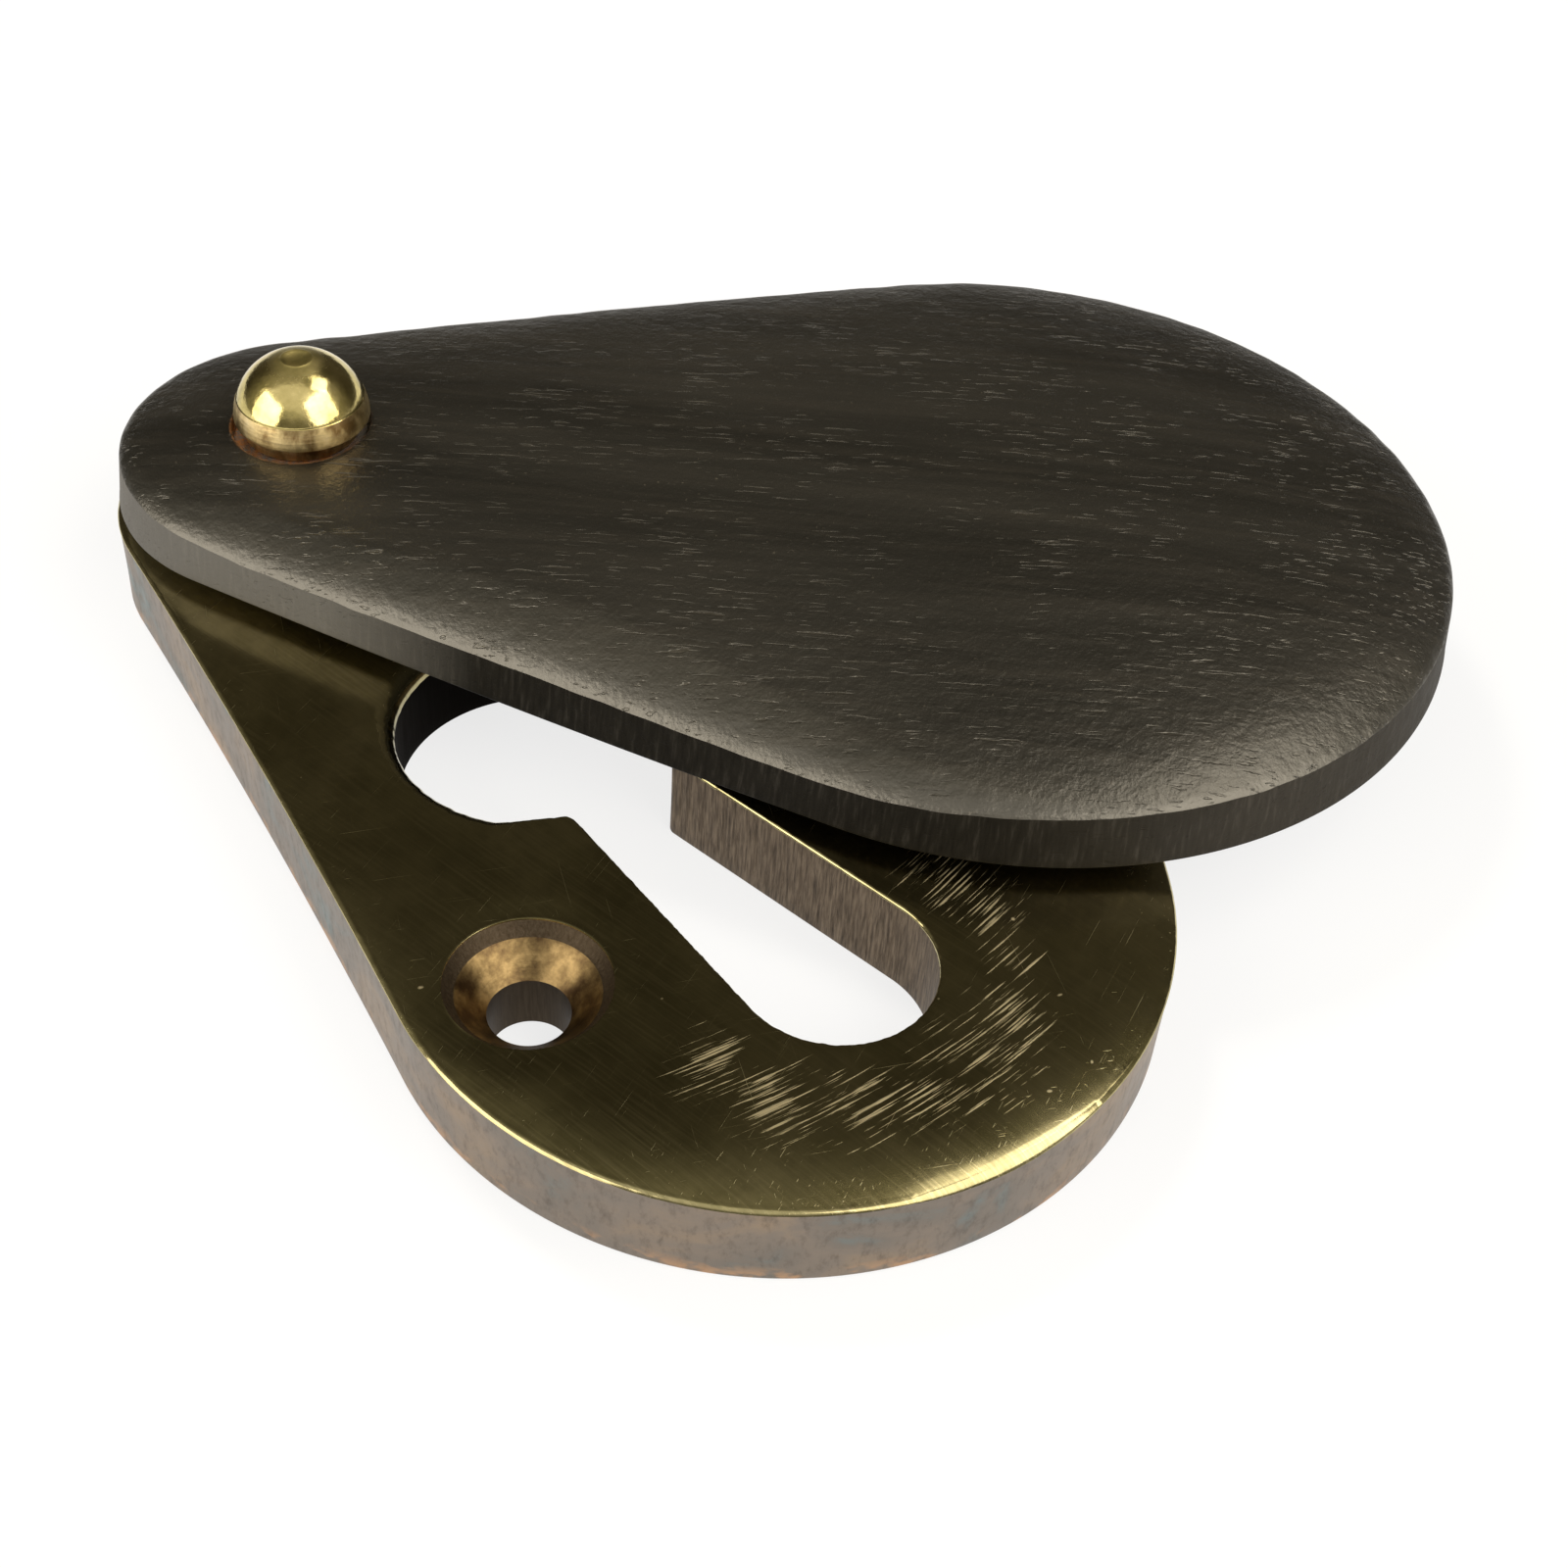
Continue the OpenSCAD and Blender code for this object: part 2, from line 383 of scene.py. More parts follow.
class Nodes:
    """Short names for the nodes of one tree."""

    def __init__(self, tree):
        self.tree = tree

    def put(self, kind, **values):
        node = self.tree.nodes.new(kind)
        for key, value in values.items():
            setattr(node, key, value)
        return node

    def link(self, a, b):
        self.tree.links.new(a, b)

    def set(self, socket, value):
        if isinstance(value, bpy.types.NodeSocket):
            self.link(value, socket)
        else:
            socket.default_value = value

    def noise(self, vector, scale=1.0, detail=4.0, rough=0.55, warp=0.0):
        node = self.put("ShaderNodeTexNoise")
        self.link(vector, node.inputs["Vector"])
        node.inputs["Scale"].default_value = scale
        node.inputs["Detail"].default_value = detail
        node.inputs["Roughness"].default_value = rough
        node.inputs["Distortion"].default_value = warp
        return node.outputs[0]

    def ramp(self, value, *stops, smooth=False):
        """A colour ramp. Each stop is (place, colour), where a colour may be one grey."""
        node = self.put("ShaderNodeValToRGB")
        self.link(value, node.inputs[0])
        bar = node.color_ramp
        bar.interpolation = "EASE" if smooth else "LINEAR"
        while len(bar.elements) < len(stops):
            bar.elements.new(0.5)
        for element, (place, colour) in zip(bar.elements, stops):
            element.position = place
            grey = isinstance(colour, (int, float))
            element.color = (colour, colour, colour, 1) if grey else (*colour, 1)
        return node.outputs[0]

    def math(self, operation, a, b=0.0, clamp=False):
        node = self.put("ShaderNodeMath", operation=operation, use_clamp=clamp)
        self.set(node.inputs[0], a)
        self.set(node.inputs[1], b)
        return node.outputs[0]

    def mix(self, factor, a, b, blend="MIX"):
        node = self.put("ShaderNodeMix", data_type="RGBA", blend_type=blend)
        self.set(node.inputs[0], factor)
        for socket, value in ((node.inputs[6], a), (node.inputs[7], b)):
            self.set(socket, (*value, 1) if isinstance(value, tuple) else value)
        return node.outputs[2]

    def bump(self, height, strength, distance, normal=None):
        node = self.put("ShaderNodeBump")
        node.inputs["Strength"].default_value = strength
        node.inputs["Distance"].default_value = distance
        self.set(node.inputs["Height"], height)
        if normal is not None:
            self.link(normal, node.inputs["Normal"])
        return node.outputs[0]

    def part(self, vector, axis):
        node = self.put("ShaderNodeSeparateXYZ")
        self.link(vector, node.inputs[0])
        return node.outputs[axis]


class Look(Nodes):
    """A new material, whose patterns are laid out in the object's own coordinates."""

    def __init__(self, name):
        self.material = bpy.data.materials.new(name)
        self.material.use_nodes = True
        super().__init__(self.material.node_tree)
        self.inputs = self.tree.nodes["Principled BSDF"].inputs
        self.coords = self.put("ShaderNodeTexCoord").outputs["Object"]

    def mapped(self, scale=(1, 1, 1), turn=0.0, at=(0, 0, 0)):
        """Object coordinates, in metres, moved, turned about Z and then stretched."""
        first = self.put("ShaderNodeMapping", vector_type="TEXTURE")
        self.link(self.coords, first.inputs["Vector"])
        first.inputs["Location"].default_value = at
        first.inputs["Rotation"].default_value = (0, 0, turn)
        second = self.put("ShaderNodeMapping", vector_type="POINT")
        self.link(first.outputs[0], second.inputs["Vector"])
        second.inputs["Scale"].default_value = scale
        return second.outputs[0]

    def radius(self, centre):
        """Distance from an upright axis, in metres."""
        moved = self.mapped(at=(centre[0] * MM, centre[1] * MM, 0))
        node = self.put("ShaderNodeVectorMath", operation="LENGTH")
        flat = self.put("ShaderNodeVectorMath", operation="MULTIPLY")
        self.link(moved, flat.inputs[0])
        flat.inputs[1].default_value = (1, 1, 0)
        self.link(flat.outputs[0], node.inputs[0])
        return node.outputs["Value"]

    def finish(self, colour, rough, normal, metallic=1.0):
        """Plug in what every material has, and hand the material over."""
        self.set(self.inputs["Base Color"], colour)
        self.set(self.inputs["Roughness"], rough)
        self.set(self.inputs["Normal"], normal)
        self.inputs["Metallic"].default_value = metallic
        return self.material


# ---------------------------------------------------------------- materials

def hairlines(n, turn, fineness, length, low, high):
    """Fine straight scratches: 1 on a scratch and 0 off it."""
    vector = n.mapped(scale=(1 / (length * MM), 1 / (fineness * MM), 1 / (fineness * MM)), turn=turn)
    return n.ramp(n.noise(vector, 1.0, 2.0, 0.6, 0.15), (low, 0.0), (high, 1.0))


# Where the cover has rubbed the plate: each patch's bearing from the slot's foot, in degrees,
# and its size, in millimetres. The patches lie in a ring about the foot.
RUB_REACH = 6.4
RUBBED = (
    (185, 2.2), (208, 2.7), (232, 2.3), (255, 2.3), (277, 2.6), (300, 2.0), (322, 1.6), (344, 2.1),
    (4, 2.9),
)


def brass_face():
    """The plate's polished face: dark olive tarnish, brushing, hairlines and pale rub marks."""
    n = Look("aged_brass_face")
    cloud = n.noise(n.mapped(scale=(110, 110, 110)), 1.0, 6.0, 0.6, 0.6)
    mottle = n.noise(n.mapped(scale=(900, 900, 900)), 1.0, 4.0, 0.6)
    brush = n.noise(n.mapped(scale=(9000, 260, 260), turn=0.12), 1.0, 3.0, 0.6)
    colour = n.ramp(cloud, (0.34, (0.29, 0.25, 0.12)), (0.5, (0.45, 0.39, 0.195)), (0.68, (0.60, 0.52, 0.28)))
    colour = n.mix(n.ramp(mottle, (0.4, 0.0), (0.72, 0.5)), colour, (0.20, 0.17, 0.08))
    colour = n.mix(n.ramp(brush, (0.45, 0.0), (0.7, 0.35)), colour, (0.70, 0.60, 0.34))
    lines = hairlines(n, 0.35, 0.05, 5.0, 0.68, 0.76)
    for turn, fineness, length in ((1.1, 0.06, 7.0), (-0.5, 0.045, 6.0)):
        lines = n.math("MAXIMUM", lines, hairlines(n, turn, fineness, length, 0.70, 0.78))
    # Rub marks follow the cover's swing about the rivet.
    reach = n.radius(PIVOT)
    around = n.mapped(at=(PIVOT[0] * MM, PIVOT[1] * MM, 0))
    angle = n.math("ARCTAN2", n.part(around, 0), n.math("MULTIPLY", n.part(around, 1), -1.0))
    combine = n.put("ShaderNodeCombineXYZ")
    n.set(combine.inputs[0], n.math("MULTIPLY", angle, 13.0))
    n.set(combine.inputs[1], n.math("MULTIPLY", reach, 10500.0))
    marks = n.noise(combine.outputs[0], 1.0, 3.0, 0.6)
    patch = None
    for bearing, size in RUBBED:
        bearing = math.radians(bearing)
        middle = (KEY_X + RUB_REACH * math.cos(bearing), KEY_FOOT_Y + RUB_REACH * math.sin(bearing))
        near = n.math("MULTIPLY", n.radius(middle), 1 / (size * MM))
        near = n.math("SUBTRACT", 1.0, near, clamp=True)
        patch = near if patch is None else n.math("MAXIMUM", patch, near)
    level = n.math("ADD", marks, n.math("MULTIPLY", patch, 0.16))
    rub = n.math("MULTIPLY", n.ramp(level, (0.65, 0.0), (0.73, 1.0)), n.ramp(patch, (0.0, 0.0), (0.2, 1.0)))
    speck = n.noise(n.mapped(scale=(1500, 1500, 1500), at=(0.002, 0.004, 0)), 1.0, 1.0, 0.4)
    speck = n.ramp(speck, (0.79, 0.0), (0.82, 1.0))
    colour = n.mix(n.math("MULTIPLY", lines, 0.4), colour, (0.75, 0.66, 0.42))
    colour = n.mix(n.math("MAXIMUM", rub, speck), colour, (0.90, 0.76, 0.48))
    rough = n.math("ADD", n.math("MULTIPLY", mottle, 0.12), 0.10)
    worn = n.math("MAXIMUM", n.math("MULTIPLY", lines, 0.5), n.math("MAXIMUM", rub, speck))
    rough = n.math("ADD", rough, n.math("MULTIPLY", worn, 0.36))
    wave = n.noise(n.mapped(scale=(220, 220, 220)), 1.0, 2.0, 0.5)
    normal = n.bump(wave, 0.5, 0.00004)
    normal = n.bump(brush, 0.12, 0.00001, normal)
    return n.finish(colour, rough, n.bump(worn, 0.3, 0.00001, normal))


def brass_wall():
    """The plate's satin side: grey-mauve oxide with bluish and coppery patches."""
    n = Look("aged_brass_wall")
    patch = n.noise(n.mapped(scale=(160, 160, 260)), 1.0, 5.0, 0.6, 0.8)
    colour = n.ramp(patch, (0.32, (0.19, 0.215, 0.205)), (0.43, (0.215, 0.185, 0.155)),
                    (0.54, (0.25, 0.205, 0.165)), (0.68, (0.31, 0.235, 0.165)))
    speck = n.noise(n.mapped(scale=(2600, 2600, 1300)), 1.0, 4.0, 0.7)
    colour = n.mix(n.ramp(speck, (0.5, 0.0), (0.72, 0.5)), colour, (0.10, 0.08, 0.065))
    low = n.ramp(n.math("MULTIPLY", n.part(n.coords, 2), 1 / (PLATE_T * MM)), (0.04, 1.0), (0.2, 0.0))
    spots = n.noise(n.mapped(scale=(700, 700, 1500)), 1.0, 3.0, 0.6)
    colour = n.mix(n.math("MULTIPLY", low, n.ramp(spots, (0.5, 0.0), (0.6, 0.8))), colour, (0.52, 0.31, 0.17))
    rough = n.math("ADD", n.math("MULTIPLY", speck, 0.2), 0.36)
    brush = n.noise(n.mapped(scale=(300, 300, 5000)), 1.0, 2.0, 0.6)
    normal = n.bump(brush, 0.25, 0.00001)
    return n.finish(colour, rough, n.bump(speck, 0.25, 0.00001, normal))


def brass_cut():
    """The raw walls of the keyhole and of the other holes: grey-brown, with upright
    striations, and painted shade, near black, on the far part of the keyhole's head."""
    n = Look("aged_brass_cut")
    streak = n.noise(n.mapped(scale=(9000, 9000, 800)), 1.0, 4.0, 0.65, 0.3)
    colour = n.ramp(streak, (0.3, (0.045, 0.031, 0.020)), (0.5, (0.135, 0.100, 0.068)),
                    (0.7, (0.24, 0.185, 0.130)))
    # Painted shade: the far part of the keyhole's head, which lies in the shade under the cover, is painted
    # near black and made rougher.
    shade_under_cover = n.radius((KEY_X - 3.5, KEY_HEAD_Y + 2.0))
    shade_under_cover = n.math("MULTIPLY", n.math("SUBTRACT", 8.4 * MM, shade_under_cover), 700.0, clamp=True)
    colour = n.mix(shade_under_cover, colour, (0.006, 0.0045, 0.003))
    # The countersinks' rims and holes are browned.
    for side in (-1, 1):
        within = n.math("SUBTRACT", (SCREW_RIM_R + 0.4) * MM, n.radius((side * SCREW_X, 0.0)))
        rim = n.math("MULTIPLY", within, 4000.0, clamp=True)
        colour = n.mix(n.math("MULTIPLY", rim, 0.8), colour, (0.035, 0.024, 0.013))
    rough = n.math("ADD", n.math("MULTIPLY", streak, 0.2), 0.42)
    rough = n.math("ADD", rough, n.math("MULTIPLY", shade_under_cover, 0.5))
    n.inputs["Specular IOR Level"].default_value = 0.2
    return n.finish(colour, rough, n.bump(streak, 0.6, 0.00003), metallic=0.85)


def brass_turned():
    """The countersinks: golden, with turning rings and brown smuts."""
    n = Look("aged_brass_turned")
    rings = n.noise(n.mapped(scale=(60, 60, 9000)), 1.0, 3.0, 0.6)
    smut = n.noise(n.mapped(scale=(900, 900, 900)), 1.0, 5.0, 0.65)
    colour = n.ramp(smut, (0.38, (0.075, 0.045, 0.022)), (0.52, (0.18, 0.12, 0.052)),
                    (0.68, (0.37, 0.255, 0.112)))
    rough = n.math("ADD", n.math("MULTIPLY", smut, 0.25), 0.26)
    normal = n.bump(rings, 0.5, 0.00003)
    return n.finish(colour, rough, n.bump(smut, 0.4, 0.00004, normal))


def brass_back():
    """The plate's back: cast skin rubbed flat."""
    n = Look("aged_brass_back")
    grain = n.noise(n.mapped(scale=(900, 900, 900)), 1.0, 6.0, 0.65)
    strokes = hairlines(n, 0.9, 0.12, 6.0, 0.45, 0.7)
    colour = n.ramp(grain, (0.3, (0.20, 0.15, 0.10)), (0.6, (0.42, 0.33, 0.20)))
    colour = n.mix(n.math("MULTIPLY", strokes, 0.5), colour, (0.58, 0.46, 0.26))
    rough = n.math("ADD", n.math("MULTIPLY", grain, 0.3), 0.3)
    normal = n.bump(grain, 0.5, 0.00004)
    return n.finish(colour, rough, n.bump(strokes, 0.3, 0.00001, normal))


def polished_brass():
    """The rivet's crown: bright yellow brass with faint smuts and hairlines."""
    n = Look("polished_brass")
    smut = n.noise(n.mapped(scale=(700, 700, 700)), 1.0, 5.0, 0.6)
    colour = n.ramp(smut, (0.34, (0.40, 0.33, 0.12)), (0.47, (0.60, 0.49, 0.185)), (0.7, (0.82, 0.67, 0.30)))
    lines = hairlines(n, 0.6, 0.05, 1.5, 0.6, 0.75)
    rough = n.math("ADD", n.math("MULTIPLY", smut, 0.2), 0.04)
    # The crown is worn dull round its dimple.
    near = n.math("MULTIPLY", n.radius(PIVOT + HEAD_OFF), 1 / (2.0 * MM))
    dull = n.ramp(near, (0.35, 1.0), (0.75, 0.0), smooth=True)
    rough = n.math("ADD", rough, n.math("MULTIPLY", dull, 0.3))
    rough = n.math("ADD", rough, n.math("MULTIPLY", lines, 0.12))
    soft = n.noise(n.mapped(scale=(800, 800, 800), at=(0.001, 0.002, 0)))
    return n.finish(colour, rough, n.bump(soft, 0.8, 0.00005))


def satin_brass():
    """The rivet's side, collar and shank: filed brass with grime in the strokes."""
    n = Look("satin_brass")
    stroke = n.noise(n.mapped(scale=(900, 900, 9000)), 1.0, 4.0, 0.65)
    grime = n.noise(n.mapped(scale=(1100, 1100, 700)), 1.0, 4.0, 0.6)
    colour = n.ramp(grime, (0.36, (0.26, 0.16, 0.06)), (0.55, (0.72, 0.55, 0.26)), (0.75, (0.86, 0.70, 0.40)))
    colour = n.mix(n.ramp(stroke, (0.5, 0.0), (0.75, 0.5)), colour, (0.30, 0.22, 0.12))
    rough = n.math("ADD", n.math("MULTIPLY", grime, 0.15), 0.24)
    return n.finish(colour, rough, n.bump(stroke, 0.35, 0.00002))


def washer_brass():
    """The spacer washer: plain brass, brushed."""
    n = Look("spacer_brass")
    grain = n.noise(n.mapped(scale=(1500, 1500, 1500)), 1.0, 4.0, 0.6)
    colour = n.ramp(grain, (0.3, (0.34, 0.26, 0.12)), (0.7, (0.60, 0.47, 0.22)))
    rough = n.math("ADD", n.math("MULTIPLY", grain, 0.2), 0.3)
    return n.finish(colour, rough, n.bump(grain, 0.3, 0.00001))


def ebony(name, face):
    """Near-black wood with fine pores along the cover. face is the polished, oiled top; the
    sawn edge and underside are duller and browner."""
    n = Look(name)
    # Local X runs along the cover, from the rivet to the wide end.
    turn = COVER_OPEN - math.pi / 2
    at = (PIVOT[0] * MM, PIVOT[1] * MM, 0)
    fibre = n.noise(n.mapped(scale=(90, 1500, 1500), turn=turn, at=at), 1.0, 5.0, 0.6, 0.3)
    band = n.noise(n.mapped(scale=(30, 160, 160), turn=turn, at=at), 1.0, 4.0, 0.55, 0.6)
    pores = n.noise(n.mapped(scale=(800, 6500, 6500), turn=turn + 0.06, at=at), 1.0, 2.0, 0.5, 0.2)
    where = n.noise(n.mapped(scale=(200, 300, 300), turn=turn, at=at), 1.0, 3.0, 0.6)
    dash = n.ramp(pores, (0.62, 0.0), (0.70, 1.0))
    dash = n.math("MULTIPLY", dash, n.ramp(where, (0.42, 0.0), (0.56, 1.0)))
    grit = n.noise(n.mapped(scale=(5500, 5500, 5500)), 1.0, 2.0, 0.6)
    if face:
        colour = n.ramp(band, (0.32, (0.0050, 0.0046, 0.0036)), (0.52, (0.0120, 0.0110, 0.0088)),
                        (0.72, (0.0200, 0.0180, 0.0142)))
        pale = n.math("MULTIPLY", n.ramp(fibre, (0.45, 0.0), (0.8, 1.0)), 0.4)
        colour = n.mix(pale, colour, (0.026, 0.021, 0.015))
        colour = n.mix(n.math("MULTIPLY", dash, 0.2), colour, (0.085, 0.072, 0.052))
        colour = n.mix(n.ramp(grit, (0.68, 0.0), (0.78, 0.5)), colour, (0.10, 0.085, 0.062))
        rough = n.math("ADD", n.math("MULTIPLY", fibre, 0.14), 0.30)
    else:
        saw = n.noise(n.mapped(scale=(5200, 5200, 350)), 1.0, 3.0, 0.6)
        colour = n.ramp(saw, (0.3, (0.008, 0.0070, 0.0055)), (0.55, (0.013, 0.0115, 0.0090)),
                        (0.75, (0.030, 0.0265, 0.022)))
        # Painted light: the side is painted paler towards either end of the cover, most at the rivet's end,
        # where the lamps light it; the middle, which lies in shade, keeps the dark sawn colour.
        along = n.math("MULTIPLY", n.part(n.mapped(turn=turn, at=at), 0), 1 / (COVER_L * MM))
        painted_end_light = n.ramp(n.math("MULTIPLY", n.math("ADD", along, 1.0), 0.4),
                      (0.44, (0.110, 0.104, 0.094)), (0.53, (0.0, 0.0, 0.0)),
                      (0.80, (0.0, 0.0, 0.0)), (0.93, (0.022, 0.019, 0.015)))
        colour = n.mix(1.0, colour, painted_end_light, "ADD")
        rough = n.math("ADD", n.math("MULTIPLY", fibre, 0.15), 0.5)
    # The wood is raw and orange-brown where the recess for the rivet was cut.
    reach = n.radius(PIVOT)
    raw = n.math("MULTIPLY", n.math("SUBTRACT", (RECESS_R + 0.12) * MM, reach), 9000.0, clamp=True)
    ragged = n.noise(n.mapped(scale=(2500, 2500, 2500)), 1.0, 4.0, 0.7)
    raw = n.math("MULTIPLY", raw, n.ramp(ragged, (0.40, 0.1), (0.6, 1.0)))
    around = n.mapped(turn=math.radians(200), at=at)
    sector = n.math("MULTIPLY", n.part(around, 0), 1 / (RECESS_R * MM))
    sector = n.math("ADD", n.math("MULTIPLY", sector, 0.5), 0.5)
    raw = n.math("MULTIPLY", raw, n.ramp(sector, (0.35, 0.12), (0.7, 1.0)))
    colour = n.mix(raw, colour, (0.27, 0.11, 0.035))
    n.inputs["Specular IOR Level"].default_value = 1.0 if face else 0.06
    n.inputs["IOR"].default_value = 1.6 if face else 1.5
    n.inputs["Specular Tint"].default_value = (1.0, 0.93, 0.80, 1.0)
    peel = n.noise(n.mapped(scale=(1900, 1900, 1900)), 1.0, 2.0, 0.5)
    normal = n.bump(peel, 0.6, 0.00006)
    normal = n.bump(grit, 0.6, 0.00003, normal)
    normal = n.bump(fibre, 0.5, 0.00004, normal)
    normal = n.bump(n.math("MULTIPLY", dash, -1.0), 0.6, 0.00006, normal)
    return n.finish(colour, rough, normal, metallic=0.0)


# ---------------------------------------------------------------- the plate

def edge_lean(points):
    """From 0 at the plate's top to 1 at its lower right, where the edge is buffed most."""
    flat = points - PLATE_CENTRE
    heading = np.arctan2(flat[:, 1], flat[:, 0])
    return 0.5 + 0.5 * np.cos(heading + math.radians(95))


def end_slope(points):
    """Slope of the buffed face where it meets the edge's roll."""
    return np.radians(6 + 7 * edge_lean(points))


def plate_top(points, outline, roll_width=0.2):
    """Height of the plate's face, buffed down near its outline and worn round the screws."""
    depth = inside_distance(points, outline)
    reach = 1.8 + 2.2 * edge_lean(points)
    part = np.clip(1 - (depth - roll_width) / reach, 0, 1)
    z = PLATE_T - reach * np.tan(end_slope(points)) / 3 * part**3
    for side in (-1, 1):
        from_screw = np.hypot(points[:, 0] - side * SCREW_X, points[:, 1])
        part = np.clip((SCREW_HALO_R - from_screw) / (SCREW_HALO_R - SCREW_RIM_R), 0, 1)
        z = z - SCREW_HALO_DEPTH * smooth(part)
    return z


def plate_piece():
    shape = Shape()
    face, wall, cut, turned_slot, back = range(5)
    top = PLATE_T

    # The face rolls over into the side. The roll is widest at the lower right, between two
    # nicks.
    points, normals = teardrop(PLATE_WIDE_R, PLATE_NARROW_R, PLATE_L, PLATE_FLANK_R, 1, 1500)
    heading = np.degrees(np.arctan2(normals[:, 1], normals[:, 0]))
    part = np.clip((heading - NICK_FROM) / (NICK_TO - NICK_FROM), 0, 1)
    between = (part > 0) & (part < 1)
    points = points + PLATE_CENTRE - normals * SKIN
    outline = points
    slope_in = end_slope(points)
    roll = 0.20 + 0.08 * edge_lean(points) + np.where(between, 0.08 + 0.30 * np.sin(math.pi * part), 0)
    roll = roll + 0.012 * wobble(points, 3.0, 4) + 0.008 * wobble(points, 0.8, 5)
    steep = math.radians(62)
    roll_width = roll * (math.sin(steep) - np.sin(slope_in))
    gaps = (0.36, 0.24, 0.14, 0.06, 0.0)
    flats = [ring(points, normals, roll_width + gap, 0)[:, :2] for gap in gaps]
    rings = [np.column_stack([flat, plate_top(flat, outline)]) for flat in flats]
    start_z = rings[-1][:, 2]
    for t in np.linspace(0, 1, 9)[1:]:
        slope = slope_in + (steep - slope_in) * t
        x = roll_width - roll * (np.sin(slope) - np.sin(slope_in))
        z = start_z - roll * (np.cos(slope_in) - np.cos(slope))
        rings.append(ring(points, normals, x, z))
    shape.strip(rings[::-1], face)
    # The side stands a little inside the roll's foot, and is eased at the plate's back.
    arris = rings[-1][:, 2]
    step, ease = 0.02, 0.14
    uneven = np.abs(0.02 * wobble(points, 11.0, 6) + 0.008 * wobble(points, 2.5, 7))
    levels = [
        ring(points, normals, step + uneven * math.sin(math.pi * k), (arris - step) * (1 - k) + ease * k)
        for k in np.linspace(0, 1, 9)
    ]
    shape.strip([rings[-1], *levels][::-1], wall)
    foot = [ring(points, normals, step + ease * (1 - math.cos(a)), ease * (1 - math.sin(a)))
            for a in np.linspace(0, math.pi / 2, 5)]
    shape.strip(foot[::-1], wall)
    top_outer, back_outer = rings[0][:, :2], foot[-1][:, :2]

    # Keyhole: an eased edge with small beads, and an upright wall.
    points, normals = keyhole()
    in_head = np.clip((points[:, 1] - KEY_HEAD_Y + 4.6) / 1.6, 0, 1)
    ease = 0.12 + 0.7 * smooth(in_head)
    ease = ease + 0.02 * wobble(points, 1.1, 11) + 0.015 * wobble(points, 0.45, 12)
    edge = [ring(points, normals, -ease * (1 - math.sin(a)), top - ease * (1 - math.cos(a)))
            for a in np.linspace(0, math.pi / 2, 10)]
    shape.strip(edge, face)
    ripple = 0.012 * wobble(points, 0.7, 13) + 0.02 * wobble(points, 5.0, 14)
    under_r = 0.1
    walls = [ring(points, normals, -np.abs(ripple) * math.sin(math.pi * k),
                  (top - ease) * (1 - k) + under_r * k)
             for k in np.linspace(0, 1, 7)]
    shape.strip(walls, cut)
    under = [ring(points, normals, -under_r * (1 - math.cos(a)), under_r * (1 - math.sin(a)))
             for a in np.linspace(0, math.pi / 2, 4)]
    shape.strip(under, cut)
    top_key, back_key = edge[0][:, :2], under[-1][:, :2]

    # Screw holes: a worn halo, a steep rim, a turned cone and a drilled hole.
    top_holes, back_holes = [], []
    sides = 160
    cone = SCREW_SEAT_R - SCREW_HOLE_R
    seat_z = top - SCREW_RIM_DEPTH
    for side in (-1, 1):
        centre = (side * SCREW_X, 0.0)
        lip = []
        for gap in (0.28, 0.18, 0.10, 0.05):
            flat = turned(centre, [(SCREW_RIM_R + gap, 0)], sides)[0][:, :2]
            lip.append(np.column_stack([flat, plate_top(flat, outline)]))
        lip += turned(centre, [(SCREW_RIM_R + 0.01, top - 0.075), (SCREW_RIM_R, top - 0.11)], sides)
        shape.strip(lip, face)
        rim = [(SCREW_RIM_R, top - 0.11), (SCREW_RIM_R - 0.06, top - 0.16),
               (SCREW_SEAT_R + 0.10, seat_z + 0.06), (SCREW_SEAT_R, seat_z)]
        bowl = [(SCREW_SEAT_R - cone * t, seat_z - cone * t) for t in np.linspace(0, 1, 14)]
        shape.strip(turned(centre, rim, sides), cut)
        shape.strip(turned(centre, bowl, sides), turned_slot)
        bore = [(SCREW_HOLE_R, seat_z - cone), (SCREW_HOLE_R, 0.08), (SCREW_HOLE_R + 0.08, 0.0)]
        shape.strip(turned(centre, bore, sides), cut)
        top_holes.append(lip[0][:, :2])
        back_holes.append(turned(centre, bore[-1:], sides)[0][:, :2])

    # Rivet's bore and its rear countersink.
    bore = [(SHANK_R + 0.01, top), (SHANK_R + 0.01, TAIL_DEPTH), (TAIL_R + 0.01, 0.0)]
    shape.strip(turned(PIVOT, bore, 96), cut)
    top_holes.append(turned(PIVOT, bore[:1], 96)[0][:, :2])
    back_holes.append(turned(PIVOT, bore[-1:], 96)[0][:, :2])

    shape.fill(top_outer, [top_key, *top_holes], 0.36, lambda p: plate_top(p, outline), face)
    shape.fill(back_outer, [back_key, *back_holes], 1.2, lambda p: np.zeros(len(p)), back, flip=True)
    materials = [brass_face(), brass_wall(), brass_cut(), brass_turned(), brass_back()]
    return shape.build("plate", materials, sharp=28.0)


# ---------------------------------------------------------------- the cover

def near_flank(points):
    """How much the cover's edge stands taller at each point, in millimetres: it does along
    the middle of one flank, where the sanding left it round."""
    along = np.exp(-(((points[:, 1] - FLANK_MIDDLE) / FLANK_SPREAD) ** 2))
    side = np.clip((-points[:, 0] - 3) / 5, 0, 1)
    return FLANK_EXTRA * along * side


def roundness(points):
    """How round the cover's shoulder is: most along one flank, and less at the narrow tip."""
    along = np.clip((points[:, 1] + 6) / 16, 0, 1)
    side = np.clip((1.5 - points[:, 0]) / 7, 0, 1)
    tip = 1 - 0.8 * np.clip((points[:, 1] - 31) / 6, 0, 1)
    return smooth(along) * smooth(side) * tip


